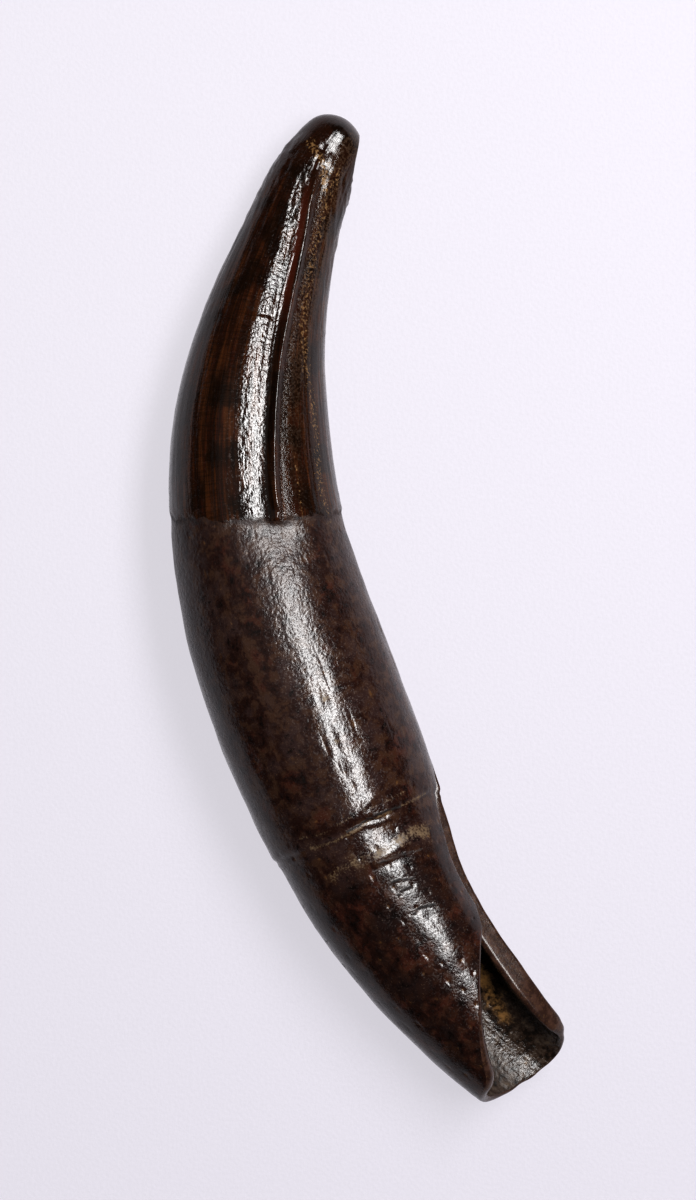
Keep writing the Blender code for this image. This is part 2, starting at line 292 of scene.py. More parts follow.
def openAngles(row):  # the columns of a row that the slit opens, from the far rim to the near one
    share = (roundAngles - tooth["farRim"]) / 360
    return tooth["farRim"] + (nearRimAt(row) + 360 - tooth["farRim"]) * share


def wallRows(radiusAt, places):  # (along, around, radius) of every row, first to last column
    rows = []
    for row in places:
        turn = keelAroundAt(row) * (1 - ramp(row, tooth["neck"], tooth["slit"]))
        around = roundAngles + turn if row <= tooth["slit"] else openAngles(row)
        along = bentRow(row, around)
        rows.append((along, around, radiusAt(along, around)))
    around = openAngles(tooth["sweep"])
    for i in range(1, tooth["endRows"] + 1):
        along = tooth["sweep"] + (wallEndAt(around) - tooth["sweep"]) * i / tooth["endRows"]
        rows.append((along, around, radiusAt(along, around)))
    return np.array(rows)


def straightened(rows):  # the tooth as it would be with a straight axis
    along, around, radius = np.moveaxis(rows, 1, 0)
    angle = np.radians(around)
    return np.stack([radius * np.sin(angle), radius * np.cos(angle), along], axis=-1)


def lipRows(outer, inner, inside, bevel):  # rows that round the broken edge, or bevel it outwards
    middle, half = (outer + inner) / 2, (outer - inner) / 2
    run = np.roll(middle, -1, axis=0) - np.roll(middle, 1, axis=0)
    away = np.cross(run, half)
    away /= np.linalg.norm(away, axis=1, keepdims=True) + 1e-9
    away *= np.sign(np.sum(away * (middle - inside), axis=1, keepdims=True))
    fromSlit = np.linalg.norm(middle - middle[0], axis=1, keepdims=True)
    away *= np.linalg.norm(half, axis=1, keepdims=True) * ramp(fromSlit, 0.2, 3)
    rows = []
    for turn in math.pi * np.arange(1, tooth["lipRows"]) / tooth["lipRows"]:
        inward = (1 - math.cos(turn)) / 2
        slope = tooth["farBevel"] * min(inward / 0.9, (1 - inward) / 0.1)  # highest near the wall
        rise = tooth["lipRound"] * math.sin(turn) * (1 - bevel) + slope * bevel
        rows.append(middle + half * math.cos(turn) + away * rise[:, None])
    return rows


onOutside, onInside, onBreak = range(3)  # where a point of the mesh lies
zones = {"enamel": 0, "cementum": 1, "dentine": 2, "pulpWall": 3}  # what a face is made of


def straightTooth():  # its mesh, and where each of its points lies
    places = rowPlaces()
    neckRow = int(np.argmin(np.abs(places - tooth["neck"])))
    slitRow = int(np.argmin(np.abs(places - tooth["slit"])))
    sweepRow = len(places) - 1
    topCavity = np.linspace(tooth["cavityTop"] + 0.15, tooth["slit"], tooth["cavityRows"])
    innerPlaces = np.concatenate([topCavity[:-1], places[slitRow:]])
    innerShift = slitRow - (len(topCavity) - 1)  # inner row = outer row - shift, below the slit
    outer, inner = wallRows(outerRadius, places), wallRows(innerRadius, innerPlaces)
    points, sides, cells, cellZones = [], [], [], []

    def addGrid(rows, isOuter, firstOpen, firstSwept, tip):
        shape = straightened(rows)
        side = onOutside if isOuter else onInside
        ids = np.zeros(shape.shape[:2], int)
        for i in range(len(rows)):
            width = columnCount + (1 if firstOpen < i <= firstSwept else 0)
            start = len(points)
            points.extend(shape[i, :width])
            sides.extend([side] * width)
            ids[i, :width] = np.arange(start, start + width)
            if i <= firstOpen:
                ids[i, columnCount] = ids[i, 0]
            elif i > firstSwept:
                ids[i, columnCount] = ids[firstSwept, columnCount]
        pole = len(points)
        points.append(tip)
        sides.append(side)
        for i in range(-1, len(rows) - 1):
            for j in range(columnCount):
                above = (pole, pole) if i < 0 else (ids[i, j], ids[i, j + 1])
                corners = dict.fromkeys((*above, ids[i + 1, j + 1], ids[i + 1, j]))
                cells.append([int(c) for c in corners])
                skin = "enamel" if i + 1 <= neckRow else "cementum"
                cellZones.append(zones[skin if isOuter else "pulpWall"])
        return shape, ids

    outerShape, outerIds = addGrid(outer, True, slitRow, sweepRow, (0, 0, 0))
    innerShape, innerIds = addGrid(
        inner, False, slitRow - innerShift, sweepRow - innerShift, (0, 0, tooth["cavityTop"])
    )
    last = len(outer) - 1
    loop = [(i, 0) for i in range(slitRow, last)]
    loop += [(last, j) for j in range(columnCount)]
    loop += [(i, columnCount) for i in range(sweepRow, slitRow, -1)]
    outerEdge = np.array([outerShape[i, j] for i, j in loop])
    innerEdge = np.array([innerShape[i - innerShift, j] for i, j in loop])
    nextIn = np.array([
        outerShape[min(i, last - 1), min(max(j, 1), columnCount - 1)] for i, j in loop
    ])
    strips = [[outerIds[i, j] for i, j in loop]]
    edgeAlong = np.array([outer[i, 0, j] for i, j in loop])
    edgeAround = np.array([outer[i, 1, j] for i, j in loop])
    bevel = ramp(edgeAlong, tooth["slit"], tooth["slit"] + 3) * (1 - ramp(edgeAround, 84, 104))
    for row in lipRows(outerEdge, innerEdge, nextIn, bevel):
        strips.append(range(len(points), len(points) + len(row)))
        points.extend(row)
        sides.extend([onBreak] * len(row))
    strips.append([innerIds[i - innerShift, j] for i, j in loop])
    for one, two in zip(strips, strips[1:]):
        for k in range(len(loop)):
            n = (k + 1) % len(loop)
            corners = dict.fromkeys((one[k], one[n], two[n], two[k]))
            if len(corners) > 2:
                cells.append([int(c) for c in corners])
                cellZones.append(zones["dentine"])
    mesh = bpy.data.meshes.new("straightTooth")
    mesh.from_pydata([tuple(map(float, p)) for p in points], [], cells)
    mesh.attributes.new("zone", "INT", "FACE").data.foreach_set("value", cellZones)
    tidy = bmesh.new()
    tidy.from_mesh(mesh)
    bmesh.ops.recalc_face_normals(tidy, faces=tidy.faces)
    tidy.to_mesh(mesh)
    tidy.free()
    mesh.shade_smooth()
    return mesh, sides


# Strokes along (along, around) points, as wide to each side as "half": soil in low places, and
# cracks, which are dark
stains = {
    "fleckLine": {
        "path": (
            (2.6, 24), (3.9, 29), (5.2, 27), (8, 31), (9.8, 32), (10.9, 38), (12.3, 42),
            (13.4, 46), (14.8, 48), (16.9, 46), (18.9, 48),
        ),
        "half": 0.36, "soil": 0.5,
    },
    "fleckShort": {"path": ((15.9, 25.5), (18.8, 24)), "half": 0.08, "soil": 0.6},
    "tipChips": {
        "path": ((1.96, -38), (2.25, -18), (2.6, 2), (3.6, 18)), "half": 0.26, "soil": 0.75,
    },
    "pitHigh": {"path": ((26.55, 0), (26.75, 0)), "half": 0.2, "soil": 0.8},
    "pitMiddle": {"path": ((28.3, -3.5), (28.55, -3.5)), "half": 0.16, "soil": 0.8},
    "upperLine": {
        "path": ((31.71, -52), (31.86, -37.5), (31.81, -25), (31.65, -10), (31.62, -2), (31.6, 30)),
        "half": 0.09, "soil": 0.6,
    },
    "lowerLine": {
        "path": ((32.27, -48), (32.36, -29), (32.28, -14), (32.14, -3), (32.08, 26), (32.02, 50)),
        "half": 0.1, "soil": 0.65,
    },
    "mainCrack": {
        "path": ((32.2, -20), (32.16, -14), (32.06, -5), (32.0, 8), (32.1, 24)),
        "half": 0.045, "dark": 1.0,
    },
    "tanBand": {
        "path": ((33.65, -42), (33.5, -26), (33.45, -15), (33.5, 8), (33.55, 40)),
        "half": 0.4, "soil": 0.5,
    },
    "tanPatch": {"path": ((33.4, 10), (33.4, 24), (33.5, 38)), "half": 0.4, "soil": 0.68},
    "bandShade": {"path": ((33.95, -8), (33.98, 10), (34.2, 28)), "half": 0.08, "dark": 0.6},
    "crackOne": {
        "path": ((34.95, -8), (34.9, 0), (35.05, 6), (35.2, 13)), "half": 0.05, "dark": 0.9,
    },
    "crackTwo": {"path": ((35.5, -5), (35.38, 0), (35.4, 7)), "half": 0.05, "dark": 0.9},
    "crackThree": {"path": ((36.5, -1), (36.42, 6), (36.66, 18)), "half": 0.06, "dark": 0.95},
    "crackPatch": {"path": ((36.75, 8), (36.95, 13)), "half": 0.16, "dark": 0.35},
    "cavityFloor": {
        "path": ((40.6, 126), (41.5, 133), (42.4, 140), (43.0, 146)), "half": 0.6, "soil": 0.7,
    },
}


def strokeAt(along, around, path, half):  # 1 on the stroke, fading to 0 beside it
    stops = np.array(path, float)
    run = np.linspace(0, len(stops) - 1, 24 * len(stops))  # finely along the path
    pathAlong = np.interp(run, range(len(stops)), stops[:, 0])
    pathAround = np.interp(run, range(len(stops)), stops[:, 1])
    nearest = np.full(len(along), 99.0)
    for a, b in zip(pathAlong, pathAround):
        across = np.radians(turned(around, b)) * halfWidthAt(a)
        nearest = np.minimum(nearest, np.hypot(along - a, across))
    return bell(nearest, half)


def describeSkin(mesh, sides):  # what the relief and the materials need to know at each point
    straight = np.empty(len(mesh.vertices) * 3)
    mesh.vertices.foreach_get("co", straight)
    x, y, along = straight.reshape(-1, 3).T
    around = np.degrees(np.arctan2(x, y))
    outside, rim = np.array(sides) == onOutside, np.array(sides) == onBreak
    onCrown = 1 - ramp(along, neckAt(around) - 0.1, neckAt(around) + 0.1)
    keelSide = np.radians(turned(around, keelAroundAt(along))) * halfWidthAt(along)
    shades = {"soil": np.zeros(len(along)), "dark": np.zeros(len(along))}
    # the root is dark just past the enamel's edge
    shades["dark"] += tooth["neckShade"] * bell(along - neckAt(around) - 0.1, 0.25) * outside
    for name, stroke in stains.items():
        within = ~outside if name == "cavityFloor" else outside
        shape = strokeAt(along, around, stroke["path"], stroke["half"]) * within
        for kind, shade in shades.items():
            np.maximum(shade, shape * stroke.get(kind, 0), out=shade)
    ripples = (0.3 + 0.7 * (1 - ramp(along, 4, 11))) * ramp(along, 1.3, 2.6)
    values = {
        "crown": onCrown * outside * (0.2 + 0.8 * ramp(along, 1.5, 3)),  # fainter on the worn tip
        "root": (1 - onCrown) * outside,
        "cavity": (~outside & ~rim).astype(float),
        "beads": onCrown * outside * ripples,
        "keelSide": keelSide,  # millimetres from the upper keel, rising to its right
        **shades,
    }
    for name, value in values.items():
        mesh.attributes.new(name, "FLOAT", "POINT").data.foreach_set("value", value)
    mesh.attributes.new("straight", "FLOAT_VECTOR", "POINT").data.foreach_set("vector", straight)


def axisCurve():  # the bent axis, in millimetres, lying in the XY plane with the tip along +Y
    step = tooth["axisStep"]
    heading = np.radians(headingAt(np.arange(0, tooth["axisLength"], step)))
    x, y = np.cumsum(np.sin(heading)) * step, -np.cumsum(np.cos(heading)) * step
    data = bpy.data.curves.new("toothAxis", "CURVE")
    data.dimensions = "3D"
    spline = data.splines.new("POLY")
    spline.points.add(len(x) - 1)
    spline.points.foreach_set("co", np.stack([x, y, 0 * x, 0 * x + 1], axis=-1).ravel())
    curve = bpy.data.objects.new("toothAxis", data)
    bpy.context.scene.collection.objects.link(curve)
    return curve


# Adds a node to a tree. An input takes a number, a socket, or a node, for its first output.
def addNode(tree, kind, inputs=None, **settings):
    node = tree.nodes.new(kind)
    for name, value in settings.items():
        setattr(node, name, value)
    for key, value in (inputs or {}).items():
        if isinstance(key, int):
            socket = node.inputs[key]
        else:
            socket = next(s for s in node.inputs if s.name == key and s.enabled)
        if isinstance(value, bpy.types.Node):
            value = next(s for s in value.outputs if s.enabled)
        if isinstance(value, bpy.types.NodeSocket):
            tree.links.new(value, socket)
        else:
            socket.default_value = value
    return node


# What both kinds of tree read from the tooth drawn straight: its place in millimetres, the
# direction about the axis, the distance along it, and the named values.
def readSkin(tree, *names):
    skin = {}
    for name in ("straight", *names):
        kind = "FLOAT_VECTOR" if name == "straight" else "FLOAT"
        if tree.bl_idname == "GeometryNodeTree":
            skin[name] = addNode(
                tree, "GeometryNodeInputNamedAttribute", {"Name": name}, data_type=kind
            ).outputs[0]
        else:
            reader = addNode(tree, "ShaderNodeAttribute", attribute_name=name)
            skin[name] = reader.outputs["Vector" if name == "straight" else "Fac"]
    split = addNode(tree, "ShaderNodeSeparateXYZ", {0: skin["straight"]})
    across = addNode(tree, "ShaderNodeCombineXYZ", {0: split.outputs[0], 1: split.outputs[1]})
    around = addNode(tree, "ShaderNodeVectorMath", {0: across}, operation="NORMALIZE")
    return {**skin, "around": around.outputs[0], "along": split.outputs[2]}


noiseSpan = 1.6  # how wide a noise texture's grains are at a scale of 1, in its own units
usualRadius = 3.125


# Noise drawn out along or around the tooth: its grains are so many millimetres across and long
# at the usual radius, and they narrow towards the tip as the tooth does.
def drawnNoise(tree, skin, across, long, detail=1.0, roughness=0.5):
    span = addNode(
        tree, "ShaderNodeMath", {0: noiseSpan * usualRadius, 1: across}, operation="DIVIDE"
    )
    around = addNode(
        tree, "ShaderNodeVectorMath", {0: skin["around"], "Scale": span}, operation="SCALE"
    )
    along = addNode(tree, "ShaderNodeMath", {0: skin["along"], 1: long}, operation="DIVIDE")
    along = addNode(tree, "ShaderNodeMath", {0: along, 1: noiseSpan}, operation="MULTIPLY")
    along = addNode(tree, "ShaderNodeCombineXYZ", {2: along})
    place = addNode(tree, "ShaderNodeVectorMath", {0: around, 1: along}, operation="ADD")
    return addNode(
        tree, "ShaderNodeTexNoise",
        {"Vector": place, "Scale": 1.0, "Detail": detail, "Roughness": roughness},
    )


# Relief of the skin, in millimetres. Heights are from the lowest to the highest that noise goes.
# Ripples, lumps and crust are drawn coarser than real ones, so that they show.
relief = {
    "Striae Width": 0.3, "Striae Height": 0.035,
    "Ripple Length": 0.5, "Ripple Height": 0.15,
    "Lump Size": 1.5, "Lump Height": 0.06,
    "Wrinkle Length": 0.7, "Wrinkle Height": 0.008,
    "Pit Spacing": 0.7, "Pit Radius": 0.13, "Pit Depth": 0.04,
    "Crust Size": 0.4, "Crust Height": 0.13,
    "Roll": math.radians(tooth["roll"]), "Pitch": math.radians(tooth["pitch"]),
}


# Grows the relief on the straight tooth, bends it along the axis curve and lays it down.
def growthTree(finishes):
    tree = bpy.data.node_groups.new("growTooth", "GeometryNodeTree")
    tree.is_modifier = True
    tree.interface.new_socket("Geometry", in_out="OUTPUT", socket_type="NodeSocketGeometry")
    tree.interface.new_socket("Geometry", in_out="INPUT", socket_type="NodeSocketGeometry")
    tree.interface.new_socket("Axis", in_out="INPUT", socket_type="NodeSocketObject")
    tree.interface.new_socket("Seed", in_out="INPUT", socket_type="NodeSocketInt")
    for name in relief:
        tree.interface.new_socket(name, in_out="INPUT", socket_type="NodeSocketFloat")
    given = addNode(tree, "NodeGroupInput").outputs
    skin = readSkin(tree, "crown", "beads", "root", "cavity")

    # each kind of relief: its noise, its height and where it grows
    straight = skin["straight"]
    crust = addNode(
        tree, "ShaderNodeVectorMath", {0: straight, 1: given["Crust Size"]}, operation="DIVIDE"
    )
    lumps = addNode(
        tree, "ShaderNodeVectorMath", {0: straight, 1: given["Lump Size"]}, operation="DIVIDE"
    )
    striae = drawnNoise(tree, skin, given["Striae Width"], 9.0, 1.5)
    ripples = drawnNoise(tree, skin, 1.0, given["Ripple Length"])
    wrinkles = drawnNoise(tree, skin, 1.8, given["Wrinkle Length"])
    lumps = addNode(
        tree, "ShaderNodeTexNoise", {"Vector": lumps, "Scale": noiseSpan, "Detail": 0.5}
    )
    crust = addNode(tree, "ShaderNodeTexNoise", {"Vector": crust, "Scale": noiseSpan})
    rise = 0.0
    for noise, height, where in (
        (striae, "Striae Height", "crown"), (ripples, "Ripple Height", "beads"),
        (wrinkles, "Wrinkle Height", "root"), (lumps, "Lump Height", "root"),
        (crust, "Crust Height", "cavity"),
    ):
        swing = addNode(tree, "ShaderNodeMath", {0: noise, 1: 0.5}, operation="SUBTRACT")
        tall = addNode(tree, "ShaderNodeMath", {0: swing, 1: given[height]}, operation="MULTIPLY")
        rise = addNode(
            tree, "ShaderNodeMath", {0: tall, 1: skin[where], 2: rise}, operation="MULTIPLY_ADD"
        )

    # small pits scattered over the root
    spots = addNode(
        tree, "GeometryNodeDistributePointsOnFaces",
        {"Mesh": given["Geometry"], "Selection": skin["root"], "Distance Min": given["Pit Spacing"],
         "Density Max": 3.0, "Seed": given["Seed"]},
        distribute_method="POISSON",
    )
    toPit = addNode(tree, "GeometryNodeProximity", {"Geometry": spots}, target_element="POINTS")
    pit = addNode(
        tree, "ShaderNodeMapRange",
        {"Value": toPit.outputs["Distance"], "From Min": 0.0, "From Max": given["Pit Radius"],
         "To Min": 1.0, "To Max": 0.0},
        interpolation_type="SMOOTHSTEP",
    )
    pit = addNode(tree, "ShaderNodeMath", {0: pit, 1: skin["root"]}, operation="MULTIPLY")
    sink = addNode(tree, "ShaderNodeMath", {0: pit, 1: given["Pit Depth"]}, operation="MULTIPLY")
    rise = addNode(tree, "ShaderNodeMath", {0: rise, 1: sink}, operation="SUBTRACT")
    normal = addNode(tree, "GeometryNodeInputNormal")
    offset = addNode(tree, "ShaderNodeVectorMath", {0: normal, "Scale": rise}, operation="SCALE")
    pitted = addNode(
        tree, "GeometryNodeStoreNamedAttribute",
        {"Geometry": given["Geometry"], "Name": "pit", "Value": pit},
        data_type="FLOAT", domain="POINT",
    )
    grown = addNode(tree, "GeometryNodeSetPosition", {"Geometry": pitted, "Offset": offset})

    # the straight tooth's third coordinate becomes a place along the bent axis
    place = addNode(tree, "ShaderNodeSeparateXYZ", {0: addNode(tree, "GeometryNodeInputPosition")})
    axis = addNode(tree, "GeometryNodeObjectInfo", {"Object": given["Axis"]})
    onAxis = addNode(
        tree, "GeometryNodeSampleCurve",
        {"Curves": axis.outputs["Geometry"], "Length": place.outputs[2]}, mode="LENGTH",
    )
    heading = addNode(tree, "ShaderNodeSeparateXYZ", {0: onAxis.outputs["Tangent"]})
    back = addNode(tree, "ShaderNodeMath", {0: heading.outputs[1], 1: -1.0}, operation="MULTIPLY")
    across = addNode(tree, "ShaderNodeCombineXYZ", {0: back, 1: heading.outputs[0]})
    across = addNode(
        tree, "ShaderNodeVectorMath", {0: across, "Scale": place.outputs[0]}, operation="SCALE"
    )
    up = addNode(tree, "ShaderNodeCombineXYZ", {2: place.outputs[1]})
    beyondTip = addNode(tree, "ShaderNodeMath", {0: place.outputs[2], 1: 0.0}, operation="MINIMUM")
    beyondTip = addNode(
        tree, "ShaderNodeVectorMath", {0: onAxis.outputs["Tangent"], "Scale": beyondTip},
        operation="SCALE",
    )
    bent = onAxis.outputs["Position"]
    for part in (across, up, beyondTip):
        bent = addNode(tree, "ShaderNodeVectorMath", {0: bent, 1: part}, operation="ADD")
    bent = addNode(tree, "GeometryNodeSetPosition", {"Geometry": grown, "Position": bent})

    # it rolls a little about its length, tips forward, and shrinks from millimetres to metres
    roll = addNode(tree, "ShaderNodeCombineXYZ", {1: given["Roll"]})
    pitch = addNode(tree, "ShaderNodeCombineXYZ", {0: given["Pitch"]})
    rolled = addNode(tree, "GeometryNodeTransform", {"Geometry": bent, "Rotation": roll})
    pitched = addNode(
        tree, "GeometryNodeTransform",
        {"Geometry": rolled, "Rotation": pitch, "Scale": (millimetre,) * 3},
    )
    finished = addNode(tree, "GeometryNodeRealizeInstances", {"Geometry": pitched})
    zone = addNode(tree, "GeometryNodeInputNamedAttribute", {"Name": "zone"}, data_type="INT")
    for index, finish in enumerate(finishes):
        chosen = addNode(
            tree, "FunctionNodeCompare", {"A": zone, "B": index}, data_type="INT", operation="EQUAL"
        )
        finished = addNode(
            tree, "GeometryNodeSetMaterial",
            {"Geometry": finished, "Selection": chosen, "Material": finish},
        )
    addNode(tree, "NodeGroupOutput", {0: finished})
    return tree


def growTooth(finishes):
    mesh, sides = straightTooth()
    describeSkin(mesh, sides)
    maker = bpy.data.objects.new("straightTooth", mesh)
    bpy.context.scene.collection.objects.link(maker)
    axis = axisCurve()
    tree = growthTree(finishes)
    grower = maker.modifiers.new("growTooth", "NODES")
    grower.node_group = tree
    values = {"Axis": axis, "Seed": tooth["seed"], **relief}
    for socket in tree.interface.items_tree:
        if socket.in_out == "INPUT" and socket.name in values:
            grower[socket.identifier] = values[socket.name]
    shapes = bpy.context.evaluated_depsgraph_get()
    grown = bpy.data.meshes.new_from_object(maker.evaluated_get(shapes), depsgraph=shapes)
    grown.name = "fossilTooth"
    bpy.data.objects.remove(maker)
    bpy.data.objects.remove(axis)

    # lay it where the CAD tooth lies, and wear its resting spots flat
    corners = np.empty(len(grown.vertices) * 3)
    grown.vertices.foreach_get("co", corners)
    corners = corners.reshape(-1, 3)
    low, high = corners.min(axis=0), corners.max(axis=0)
    middle = (toothLow + toothHigh) / 2
    corners[:, :2] += np.array(middle[:2]) - (low + high)[:2] / 2
    corners[:, 2] += toothLow[2] - low[2] - tooth["flatDepth"] * millimetre
    corners[:, 2] = np.maximum(corners[:, 2], toothLow[2])
    grown.vertices.foreach_set("co", corners.ravel())
    grown.update()
    piece = bpy.data.objects.new("fossilTooth", grown)
    bpy.context.scene.collection.objects.link(piece)
    return piece


def paint(code):  # an sRGB hex colour as linear light
    parts = [int(code[i:i + 2], 16) / 255 for i in (1, 3, 5)]
    linear = [c / 12.92 if c <= 0.04045 else ((c + 0.055) / 1.055) ** 2.4 for c in parts]
    return (*linear, 1.0)


# Lays colours over a base. Each is (colour, opacity, (value, low, high), ...) and shows as far as
# each value has come from low to high.
def layColors(tree, base, *layers):
    for color, opacity, *bounds in layers:
        share = opacity
        for value, low, high in bounds:
            shown = addNode(
                tree, "ShaderNodeMapRange", {"Value": value, "From Min": low, "From Max": high},
                interpolation_type="SMOOTHSTEP",
            )
            share = addNode(tree, "ShaderNodeMath", {0: shown, 1: share}, operation="MULTIPLY")
        base = addNode(
            tree, "ShaderNodeMix", {"Factor": share, "A": base, "B": paint(color)}, data_type="RGBA"
        )
    return base


# Starts a material, ends it with its shader, and stacks the bumps: (noise, depth in millimetres)
def makeFinish(name, describe, *names):
    finish = bpy.data.materials.new(name)
    finish.use_nodes = True
    tree = finish.node_tree
    tree.nodes.clear()
    color, bumps, settings = describe(tree, readSkin(tree, *names))
    shader = addNode(tree, "ShaderNodeBsdfPrincipled", {"Base Color": color, **settings})
    normal = None
    for height, depth in bumps:
        bump = addNode(tree, "ShaderNodeBump", {"Height": height, "Distance": depth * millimetre})
        if normal:
            tree.links.new(normal.outputs[0], bump.inputs["Normal"])
        normal = bump
    tree.links.new(normal.outputs[0], shader.inputs["Normal"])
    addNode(tree, "ShaderNodeOutputMaterial", {"Surface": shader})
    return finish


# Enamel and cementum are duller in specks of grit, and dull and dark in cracks and torn places.
# These are the values of their noises between which that comes on.
grit = (0.52, 0.64)
gloom = {"gloss": (0.55, 0.85), "color": (0.65, 1.0)}

# Tooth enamel turned dark by minerals and worn glossy: nearly black, with fine chestnut striae.
# Sizes are in millimetres, and the etched grain is drawn coarser than the real one, to show.
enamel = {
    "base": "#210f06", "dark": "#0b0502", "chestnut": "#4b2a13", "red": "#40190c",
    # the mauve is a painted reflection, laid on the flat right of the keel
    "mauve": "#362823", "umber": "#443224", "ochre": "#7c603e",
    "clouds": 2.5, "specks": 0.18, "grain": 0.28,
    "gloss": 0.12, "gritGloss": 0.34, "tornGloss": 0.6, "ior": 1.48,
}


def enamelColors(tree, skin):
    straight, along, keelSide = skin["straight"], skin["along"], skin["keelSide"]
    streaks = drawnNoise(tree, skin, 0.3, 5.0, 3.0, 0.6)
    fineStreaks = drawnNoise(tree, skin, 0.13, 3.0, 2.0, 0.6)
    hatch = drawnNoise(tree, skin, 1.3, 0.13, 2.0, 0.6)
    clouds = addNode(
        tree, "ShaderNodeTexNoise",
        {"Vector": straight, "Scale": noiseSpan / enamel["clouds"], "Detail": 3.0},
    )
    specks = addNode(
        tree, "ShaderNodeTexNoise",
        {"Vector": straight, "Scale": noiseSpan / enamel["specks"], "Detail": 3.0,
         "Roughness": 0.6},
    )
    soil = addNode(
        tree, "ShaderNodeMath", {0: specks, 1: 2.5, 2: skin["soil"]}, operation="MULTIPLY_ADD"
    )
    dark = addNode(
        tree, "ShaderNodeMath", {0: specks, 1: 0.6, 2: skin["dark"]}, operation="MULTIPLY_ADD"
    )
    torn = addNode(tree, "ShaderNodeMath", {0: specks, 1: skin["dark"]}, operation="MULTIPLY")
    # right of the keel the enamel is pitted and dull
    pitted = layColors(
        tree, paint("#000000"),
        ("#ffffff", 1.0, (keelSide, 0.1, 0.18), (keelSide, 1.2, 0.5), (specks, 0.35, 0.65),
         (along, 2.0, 4.5)),
    )
    color = layColors(
        tree, paint(enamel["base"]),
        (enamel["chestnut"], 0.75, (streaks, 0.44, 0.7), (along, 1.5, 6.0)),
        (enamel["red"], 0.35, (fineStreaks, 0.5, 0.7)),
        (enamel["dark"], 0.35, (hatch, 0.52, 0.38)),
        (enamel["dark"], 0.7, (clouds, 0.47, 0.62)),
        # the steep left side of the upper keel is red-brown near the tip, and further on it is
        # painted dark: a painted shade of that side, which faces away from the light
        (enamel["red"], 0.75, (keelSide, -0.44, -0.34), (keelSide, -0.03, -0.12),
         (along, 3.0, 5.0), (along, 11.0, 8.0)),
        (enamel["dark"], 0.6, (keelSide, -0.44, -0.34), (keelSide, -0.03, -0.12),
         (along, 8.0, 11.0)),
        # right of it lie a mauve line, a painted reflection of the surroundings on the flat there,
        # and a broad umber band
        (enamel["mauve"], 0.45, (keelSide, 0.04, 0.1), (keelSide, 0.36, 0.24),
         (specks, 0.6, 0.45)),
        (enamel["umber"], 0.55, (keelSide, 0.3, 0.5), (keelSide, 1.8, 1.2), (along, 26.0, 4.0),
         (specks, 0.42, 0.56)),
        (enamel["ochre"], 0.75, (soil, 1.75, 2.15)),
        (enamel["dark"], 0.9, (dark, *gloom["color"])),
    )
    # the flat left of the keel is etched, but not its shoulder, the keel or the worn tip: there
    # the grain fades to mid grey, which is level
    grain = addNode(
        tree, "ShaderNodeTexNoise",
        {"Vector": straight, "Scale": noiseSpan / enamel["grain"], "Detail": 1.5},
    )
    etched = layColors(
        tree, grain,
        ("#808080", 0.8, (keelSide, -1.6, -1.9)), ("#808080", 0.8, (keelSide, -0.4, -0.25)),
        ("#808080", 1.0, (along, 2.4, 1.7)),
    )
    rough = enamel["gloss"]
    for value, (low, high), gloss in (
        (specks, grit, enamel["gritGloss"]), (dark, gloom["gloss"], enamel["tornGloss"]),
    ):
        rough = addNode(
            tree, "ShaderNodeMapRange",
            {"Value": value, "From Min": low, "From Max": high, "To Min": rough, "To Max": gloss},
        )
    bumps = (
        (fineStreaks, 0.008), (hatch, 0.004), (specks, 0.006), (etched, 0.028), (pitted, 0.01),
        (torn, 0.05),
    )
    return color, bumps, {"Roughness": rough, "IOR": enamel["ior"]}


# Root cementum, mineralised and polished by handling: chocolate, mottled, finely wrinkled. Its
# grain too is drawn coarser than the real one.
cementum = {
    "base": "#24120d", "brown": "#3d291d", "black": "#0b0504", "red": "#3c1a12",
    "mauve": "#382a28", "ochre": "#76552f", "tan": "#75634a",
    "clouds": 2.2, "mottle": 0.8, "specks": 0.14, "grain": 0.26,
    "gloss": 0.15, "neckGloss": 0.3, "gritGloss": 0.42, "tornGloss": 0.6, "ior": 1.46,
}


